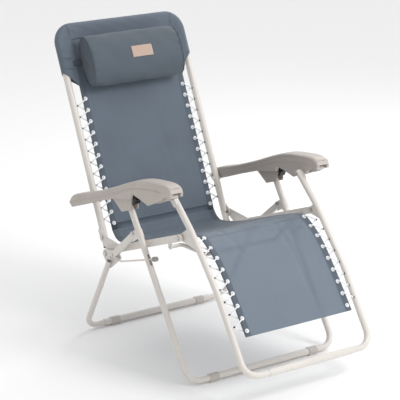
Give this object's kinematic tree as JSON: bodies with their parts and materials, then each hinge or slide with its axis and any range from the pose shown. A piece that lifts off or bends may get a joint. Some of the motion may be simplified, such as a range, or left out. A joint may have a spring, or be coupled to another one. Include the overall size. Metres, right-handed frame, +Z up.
{
  "type": "zero gravity recliner",
  "caption": "Folding steel lounge chair with a laced fabric sling, sliding armrest locks, linked back and footrest, and a padded headrest.",
  "frame": {"origin": "on the floor under the centre of the bounding box", "axes": "+Z up, +Y towards the back, +X to the sitter's left"},
  "size_m": [0.68, 1.2, 1.0905],
  "materials": {
    "frame_paint": "semi-gloss powder coat",
    "steel": "zinc plated",
    "arm_plastic": "moulded, fine grain",
    "dark_plastic": "moulded",
    "sleeve_plastic": "moulded",
    "rubber": "soft",
    "sling_fabric": "woven mesh",
    "pillow_fabric": "woven mesh, padded",
    "cord": "braided cord",
    "grommet_plastic": "moulded",
    "label_fabric": "sewn patch, blank",
    "band_elastic": "elastic webbing"
  },
  "bodies": {
    "front_legs": {"front_leg_left": "frame_paint", "front_leg_right": "frame_paint", "front_crossbar": "frame_paint", "front_foot_sleeves": "sleeve_plastic", "apex_saddles": "frame_paint", "front_leg_plugs": "dark_plastic", "apex_bolts": "steel"},
    "rear_legs": {"rear_leg_left": "frame_paint", "rear_leg_right": "frame_paint", "rear_strut_left": "frame_paint", "rear_strut_right": "frame_paint", "rear_crossbar": "frame_paint", "rear_foot_sleeves": "sleeve_plastic", "strut_rivets": "steel", "stay_pins": "steel", "seat_pivot_bolts": "steel"},
    "stay_links": {"stay_rods": "frame_paint", "stay_knobs": "rubber"},
    "seat": {"seat_rail_left": "frame_paint", "seat_rail_right": "frame_paint", "rail_rear_brackets": "frame_paint", "brace_lugs": "frame_paint", "seat_cross_brace": "frame_paint", "brace_rivets": "steel", "seat_sling": "sling_fabric", "back_pivot_bolts": "steel", "knee_pivot_bolts": "steel"},
    "back": {"back_tube_left": "frame_paint", "back_tube_right": "frame_paint", "back_top_bar": "frame_paint", "back_end_caps": "dark_plastic", "back_sling": "sling_fabric", "back_grommets": "grommet_plastic", "back_lacing_left": "cord", "back_lacing_right": "cord", "back_lacing_clips": "dark_plastic", "top_pocket": "sling_fabric", "armrest_pivot_bolts": "steel"},
    "headrest": {"pillow": "pillow_fabric", "pillow_label": "label_fabric", "pillow_band": "band_elastic"},
    "footrest": {"foot_tube_left": "frame_paint", "foot_tube_right": "frame_paint", "foot_crossbar": "frame_paint", "knee_gussets": "frame_paint", "leg_sling": "sling_fabric", "leg_grommets": "grommet_plastic", "leg_lacing_left": "cord", "leg_lacing_right": "cord", "leg_lacing_clips": "dark_plastic"},
    "armrests": {"armrest_left": "arm_plastic", "armrest_right": "arm_plastic", "armrest_tracks": "steel", "armrest_front_bolts": "steel"},
    "sliders": {"slider_left": "arm_plastic", "slider_right": "arm_plastic", "lock_jaws": "dark_plastic", "track_shoes": "dark_plastic"},
    "lever_left": {"lock_lever_left": "sleeve_plastic"},
    "lever_right": {"lock_lever_right": "sleeve_plastic"}
  },
  "joints": [
    {"name": "fold", "type": "hinge", "parent": "front_legs", "child": "rear_legs", "pos_m": [0, -0.0125, 0.464], "axis": [-1, 0, 0], "range_deg": [0, 8]},
    {"name": "stay_swing", "type": "hinge", "parent": "rear_legs", "child": "stay_links", "pos_m": [0, 0.1045, 0.3395], "axis": [-1, 0, 0], "range_deg": [-0.69, 0]},
    {"name": "seat_tilt", "type": "hinge", "parent": "rear_legs", "child": "seat", "pos_m": [0, 0.1955, 0.33], "axis": [-1, 0, 0], "range_deg": [0, 3.21]},
    {"name": "recline", "type": "hinge", "parent": "seat", "child": "back", "pos_m": [0, 0.2525, 0.37], "axis": [-1, 0, 0], "range_deg": [0, 34]},
    {"name": "footrest_lift", "type": "hinge", "parent": "seat", "child": "footrest", "pos_m": [0, -0.2405, 0.5], "axis": [-1, 0, 0], "range_deg": [0, 34.05]},
    {"name": "armrest_level", "type": "hinge", "parent": "back", "child": "armrests", "pos_m": [0, 0.3145, 0.491], "axis": [-1, 0, 0], "range_deg": [-34.05, 0]},
    {"name": "track_slide", "type": "slide", "parent": "armrests", "child": "sliders", "axis": [0, -0.9669, 0.255], "range_m": [0, 0.0785]},
    {"name": "left_lock_lever", "type": "hinge", "parent": "armrests", "child": "lever_left", "pos_m": [0.312, -0.1875, 0.644], "axis": [-1, 0, 0], "range_deg": [0, 6], "stiffness_Nm_per_rad": 0.6, "springref_deg": -8.59},
    {"name": "right_lock_lever", "type": "hinge", "parent": "armrests", "child": "lever_right", "pos_m": [-0.312, -0.1875, 0.644], "axis": [-1, 0, 0], "range_deg": [0, 6], "stiffness_Nm_per_rad": 0.6, "springref_deg": -8.59},
    {"name": "pillow_height", "type": "slide", "parent": "back", "child": "headrest", "axis": [0, -0.4077, -0.9131], "range_m": [0, 0.1]}
  ],
  "couplings": [
    {"joint": "stay_swing", "follows": "fold", "ratio": -0.08},
    {"joint": "seat_tilt", "follows": "recline", "ratio": 0.093},
    {"joint": "footrest_lift", "follows": "recline", "ratio": 1},
    {"joint": "armrest_level", "follows": "recline", "ratio": -1},
    {"joint": "track_slide", "follows": "recline", "m_per_rad": 0.13144}
  ]
}
